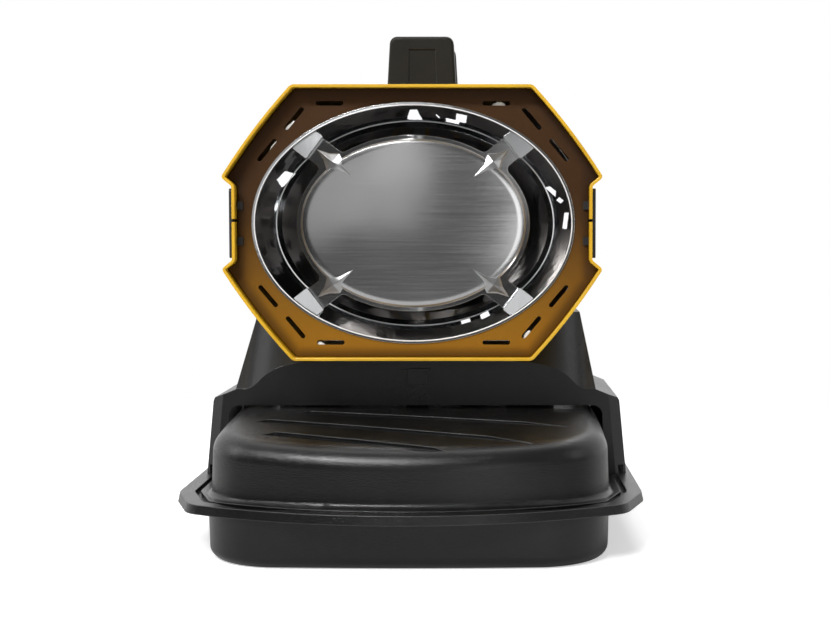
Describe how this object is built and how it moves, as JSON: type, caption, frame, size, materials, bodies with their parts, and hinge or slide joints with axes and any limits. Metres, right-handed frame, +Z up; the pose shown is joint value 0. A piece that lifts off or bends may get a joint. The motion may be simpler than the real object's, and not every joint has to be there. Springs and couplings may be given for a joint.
{
  "type": "diesel space heater",
  "caption": "Free-standing radiant oil heater: eight-sided head with an elliptical reflector and legged emitter, carrying handle, moulded pedestal and wide flanged fuel tank.",
  "frame": {"origin": "on the floor, under the middle of the tank", "axes": "+X to the viewer's right as the glowing front is faced, +Y from the front to the fan at the back, +Z up"},
  "size_m": [0.47, 0.56, 0.5464],
  "materials": {
    "tank_plastic": "fine moulded grain, charcoal black",
    "housing_plastic": "fine moulded grain, charcoal black",
    "handle_plastic": "moulded, satin black",
    "shell_paint": "bright yellow powder coat",
    "plate_paint": "golden brown powder coat",
    "polished_steel": "polished stainless steel",
    "brushed_steel": "brushed stainless steel",
    "bare_steel": "plain steel sheet",
    "zinc_steel": "zinc plated",
    "black_steel": "satin black",
    "brass_metal": "turned brass",
    "cast_aluminium": "die cast",
    "fan_aluminium": "pressed sheet",
    "ceramic_white": "glazed ceramic",
    "sealing_rubber": "moulded rubber",
    "gloss_black": "gloss black",
    "clear_lens": "clear moulding",
    "dial_white": "plain dial",
    "needle_red": "red",
    "board_green": "circuit board",
    "filter_felt": "felt in a moulded cap"
  },
  "bodies": {
    "chassis": {"tank_lower": "tank_plastic", "tank_upper": "tank_plastic", "filler_neck": "tank_plastic", "filler_strainer": "bare_steel", "gauge_body": "dial_white", "gauge_lens": "clear_lens", "drain_plug": "handle_plastic", "fuel_pickup": "brass_metal", "pedestal_housing": "housing_plastic", "rear_cover": "housing_plastic", "cover_screws": "zinc_steel", "chassis_tray": "bare_steel", "ignition_transformer": "gloss_black", "control_board": "board_green", "display_window": "gloss_black", "thermostat_pot": "cast_aluminium", "switch_housing": "gloss_black", "power_inlet": "gloss_black", "front_bracket": "black_steel", "shell_lower": "shell_paint", "shell_upper": "shell_paint", "side_vent_left": "black_steel", "side_vent_right": "black_steel", "side_screws": "zinc_steel", "front_plate": "plate_paint", "reflector": "polished_steel", "emitter": "brushed_steel", "emitter_clamps": "polished_steel", "chamber": "bare_steel", "flame_spreader": "bare_steel", "heat_shield": "bare_steel", "burner_cup": "bare_steel", "nozzle_holder": "brass_metal", "spray_nozzle": "brass_metal", "electrodes": "ceramic_white", "flame_sensor": "gloss_black", "fan_shroud": "bare_steel", "motor_body": "zinc_steel", "motor_bracket": "black_steel", "pump_body": "cast_aluminium", "pump_cover": "cast_aluminium", "intake_filter": "filter_felt", "rear_guard": "black_steel", "guard_screws": "zinc_steel", "fuel_line": "brass_metal", "air_line": "cast_aluminium", "handle": "handle_plastic", "handle_screws": "zinc_steel"},
    "fan_rotor": {"fan": "fan_aluminium", "motor_shaft": "bare_steel", "pump_rotor": "cast_aluminium"},
    "thermostat": {"thermostat_knob": "handle_plastic"},
    "rocker": {"power_rocker": "gloss_black"},
    "gasket": {"cap_gasket": "sealing_rubber"},
    "cap": {"fuel_cap": "handle_plastic"},
    "float": {"float_arm": "brass_metal", "gauge_float": "gloss_black"},
    "needle": {"gauge_needle": "needle_red"}
  },
  "joints": [
    {"name": "fan_spin", "type": "hinge", "parent": "chassis", "child": "fan_rotor", "pos_m": [0, 0.16, 0.3265], "axis": [0, 1, 0], "continuous": true},
    {"name": "thermostat_turn", "type": "hinge", "parent": "chassis", "child": "thermostat", "pos_m": [-0.062, 0.15, 0.158], "axis": [0, -1, 0], "range_deg": [-135, 135]},
    {"name": "rocker_tilt", "type": "hinge", "parent": "chassis", "child": "rocker", "pos_m": [0.048, 0.147, 0.158], "axis": [1, 0, 0], "range_deg": [0, 18]},
    {"name": "gasket_lift", "type": "slide", "parent": "chassis", "child": "gasket", "axis": [0, 0, 1], "range_m": [0, 0.0061]},
    {"name": "cap_turn", "type": "hinge", "parent": "gasket", "child": "cap", "pos_m": [0.128, 0.196, 0.143], "axis": [0, 0, 1], "range_deg": [0, 360]},
    {"name": "float_swing", "type": "hinge", "parent": "chassis", "child": "float", "pos_m": [-0.128, 0.196, 0.062], "axis": [0, -1, 0], "range_deg": [0, 50]},
    {"name": "needle_turn", "type": "hinge", "parent": "chassis", "child": "needle", "pos_m": [-0.128, 0.196, 0.126], "axis": [0, 0, 1], "range_deg": [0, 180.5]}
  ],
  "couplings": [
    {"joint": "gasket_lift", "follows": "cap_turn", "m_per_rad": 0.00095493},
    {"joint": "needle_turn", "follows": "float_swing", "ratio": 3.6}
  ]
}
